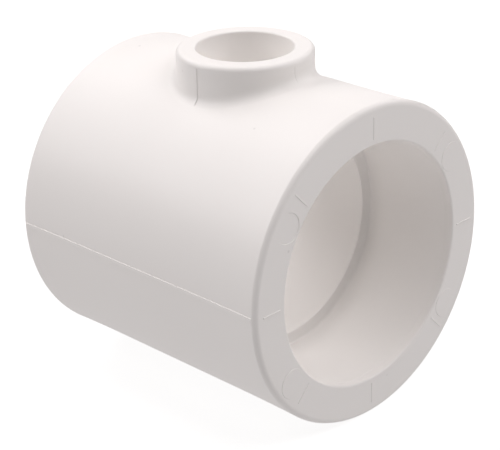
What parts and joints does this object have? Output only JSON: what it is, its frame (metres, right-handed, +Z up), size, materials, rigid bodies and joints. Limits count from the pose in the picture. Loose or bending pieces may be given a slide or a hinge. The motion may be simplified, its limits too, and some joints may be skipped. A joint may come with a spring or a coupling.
{
  "type": "pvc tee fitting",
  "caption": "Thick-walled white plastic reducing tee: a straight run with a plain pipe socket in each end and a short branch with a smaller plain pipe socket.",
  "frame": {"origin": "where the run rests on the ground, directly below the point where the run's axis crosses the branch's axis (bottom centre of the bounding box)", "axes": "+Z up, along the branch's axis and out of its mouth; +X along the run's axis, out of the inlet socket; +Y across the run"},
  "size_m": [0.0838, 0.0818, 0.0874],
  "materials": {
    "white_plastic": "satin, injection moulded"
  },
  "bodies": {
    "root": {"centre_body": "white_plastic", "inlet_socket": "white_plastic", "outlet_socket": "white_plastic", "branch_socket": "white_plastic"}
  },
  "joints": []
}
